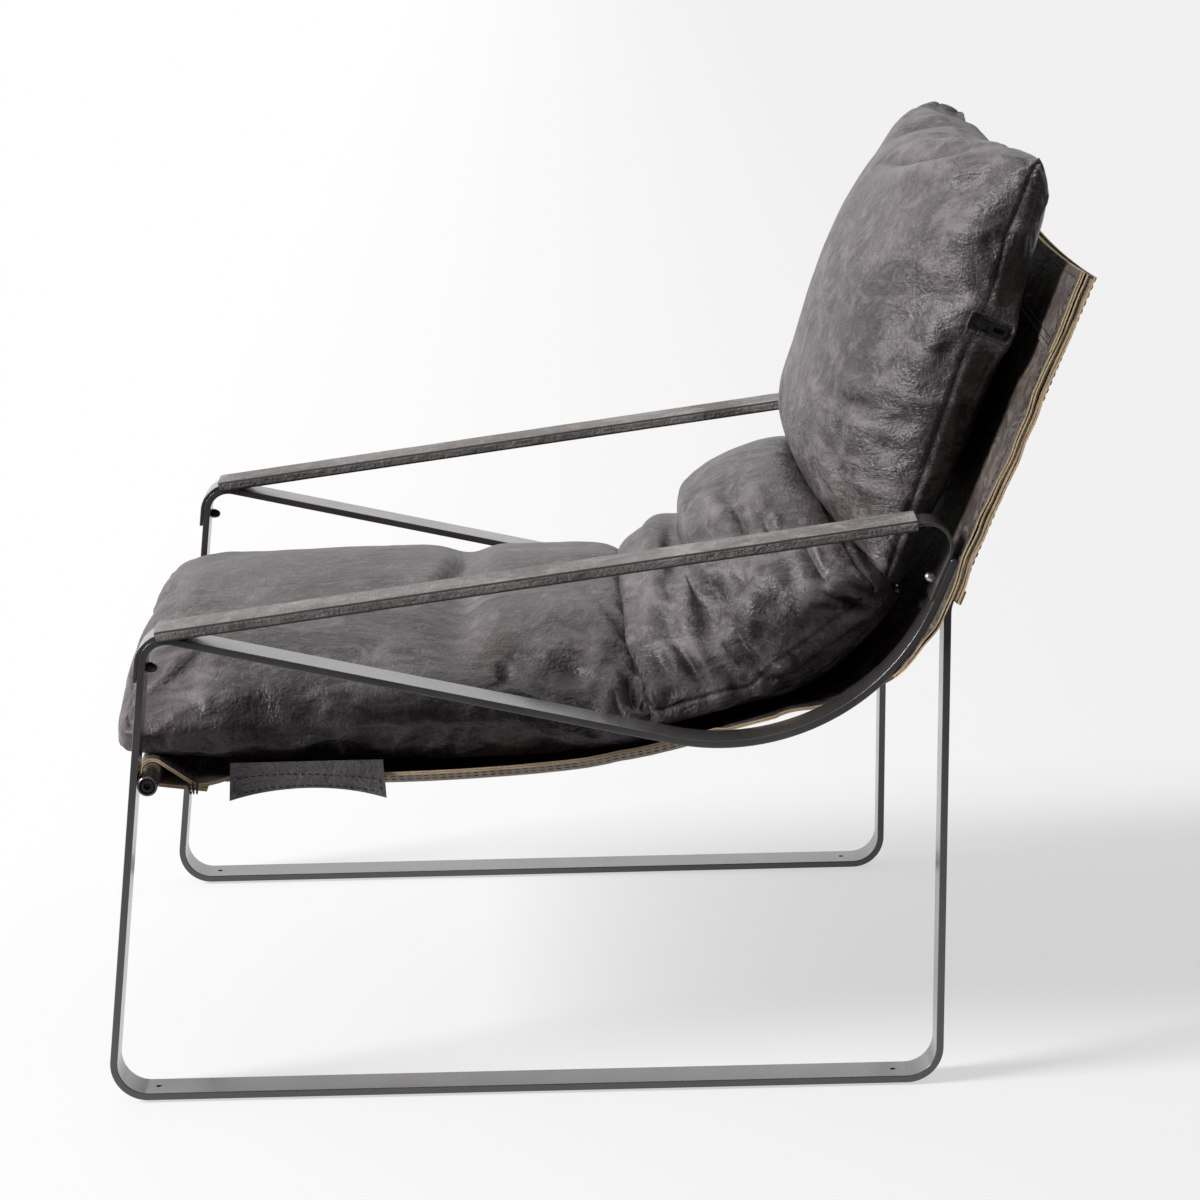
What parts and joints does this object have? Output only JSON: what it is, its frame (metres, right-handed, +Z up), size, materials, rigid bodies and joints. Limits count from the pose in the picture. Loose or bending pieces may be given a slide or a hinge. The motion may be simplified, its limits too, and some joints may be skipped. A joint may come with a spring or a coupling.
{
  "type": "sling lounge chair",
  "caption": "Low lounge chair whose leather sling hangs between bent flat-bar side frames and carries loose seat, lumbar and back cushions.",
  "frame": {"origin": "middle of the footprint, on the floor", "axes": "+Z up, -Y to the front where the sitter's knees are, +X to the sitter's left, the side with the zip"},
  "size_m": [0.698, 0.852, 0.7982],
  "materials": {
    "frame_steel": "satin powder coat",
    "plain_steel": "zinc plated",
    "black_steel": "blackened",
    "nylon": "moulded",
    "leather": "worn, satin",
    "arm_leather": "rubbed, matt",
    "suede": "napped",
    "zip_tape": "woven"
  },
  "bodies": {
    "chair": {"side_frame_left": "frame_steel", "arm_strip_left": "frame_steel", "arm_sleeve_left": "arm_leather", "arm_front_bolt_left": "black_steel", "arm_front_nut_left": "black_steel", "arm_rear_bolt_left": "black_steel", "arm_rear_nut_left": "plain_steel", "glide_front_left": "nylon", "glide_rear_left": "nylon", "tube_boss_left": "frame_steel", "tube_insert_left": "plain_steel", "tube_screw_left": "black_steel", "cushion_tab_left": "leather", "side_frame_right": "frame_steel", "arm_strip_right": "frame_steel", "arm_sleeve_right": "arm_leather", "arm_front_bolt_right": "black_steel", "arm_front_nut_right": "black_steel", "arm_rear_bolt_right": "black_steel", "arm_rear_nut_right": "plain_steel", "glide_front_right": "nylon", "glide_rear_right": "nylon", "tube_boss_right": "frame_steel", "tube_insert_right": "plain_steel", "tube_screw_right": "black_steel", "cushion_tab_right": "leather", "front_tube": "frame_steel", "back_crossbar": "frame_steel", "sling": "leather", "sling_lining": "suede", "sling_top_band": "leather", "sling_back_panel": "leather", "seat_cushion": "leather", "lumbar_cushion": "leather", "back_cushion": "leather", "zipper_tape": "zip_tape"},
    "zipper_slider": {"zipper_slider": "black_steel"},
    "zipper_pull": {"zipper_pull": "black_steel"}
  },
  "joints": [
    {"name": "zipper_slide", "type": "slide", "parent": "chair", "child": "zipper_slider", "axis": [0, 0.9205, -0.3907], "range_m": [0, 0.018]},
    {"name": "zipper_pull_hinge", "type": "hinge", "parent": "zipper_slider", "child": "zipper_pull", "pos_m": [0.2907, 0.33702, 0.65806], "axis": [0, -0.3907, -0.9205], "range_deg": [0, 150]}
  ]
}
